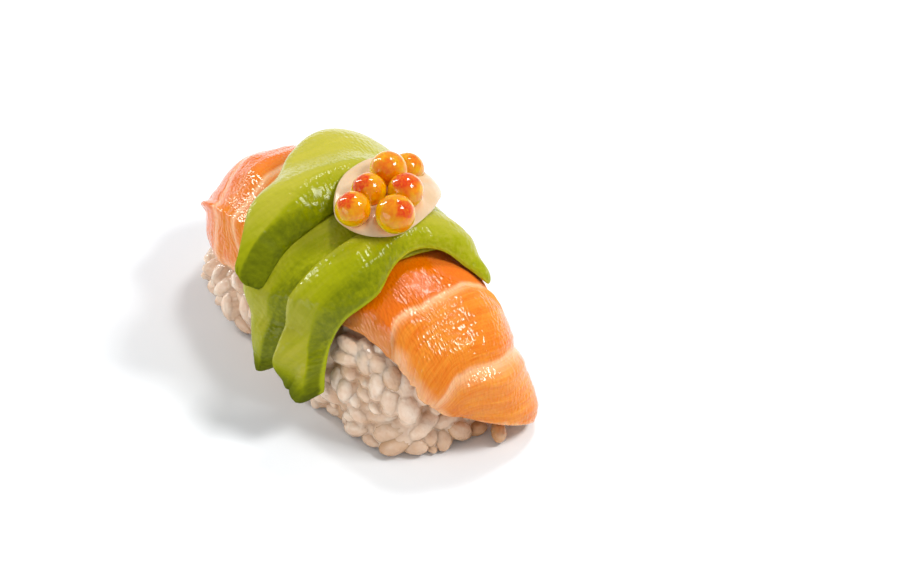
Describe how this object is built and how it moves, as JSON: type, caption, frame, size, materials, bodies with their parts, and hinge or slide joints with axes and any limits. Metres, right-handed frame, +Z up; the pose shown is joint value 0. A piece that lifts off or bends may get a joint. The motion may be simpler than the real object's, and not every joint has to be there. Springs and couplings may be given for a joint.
{
  "type": "salmon avocado nigiri",
  "caption": "Nigiri sushi: a pressed rice block under a draped salmon slice, crossed by avocado slices, topped with cream sauce and salmon roe.",
  "frame": {"origin": "middle of the object's box in plan, at the height of the table", "axes": "+X along the rice block towards the end where the salmon's tip stands off the rice, -Y towards the side where the avocado slices hang lowest, +Z up"},
  "size_m": [0.0637, 0.0376, 0.0349],
  "materials": {
    "rice_grain": "pearly, slightly wet cooked rice",
    "salmon_flesh": "moist raw fish with pale fat lines",
    "avocado_flesh": "smooth, moist cut fruit",
    "cream_sauce": "soft gloss of thick sauce",
    "roe_skin": "clear, wet skin over orange oil"
  },
  "bodies": {
    "root": {"salmon": "salmon_flesh", "avocado_rear": "avocado_flesh", "avocado_middle": "avocado_flesh", "avocado_front": "avocado_flesh", "cream": "cream_sauce", "roe_1": "roe_skin", "roe_2": "roe_skin", "roe_3": "roe_skin", "roe_4": "roe_skin", "roe_5": "roe_skin", "roe_6": "roe_skin", "rice": "rice_grain"}
  },
  "joints": []
}
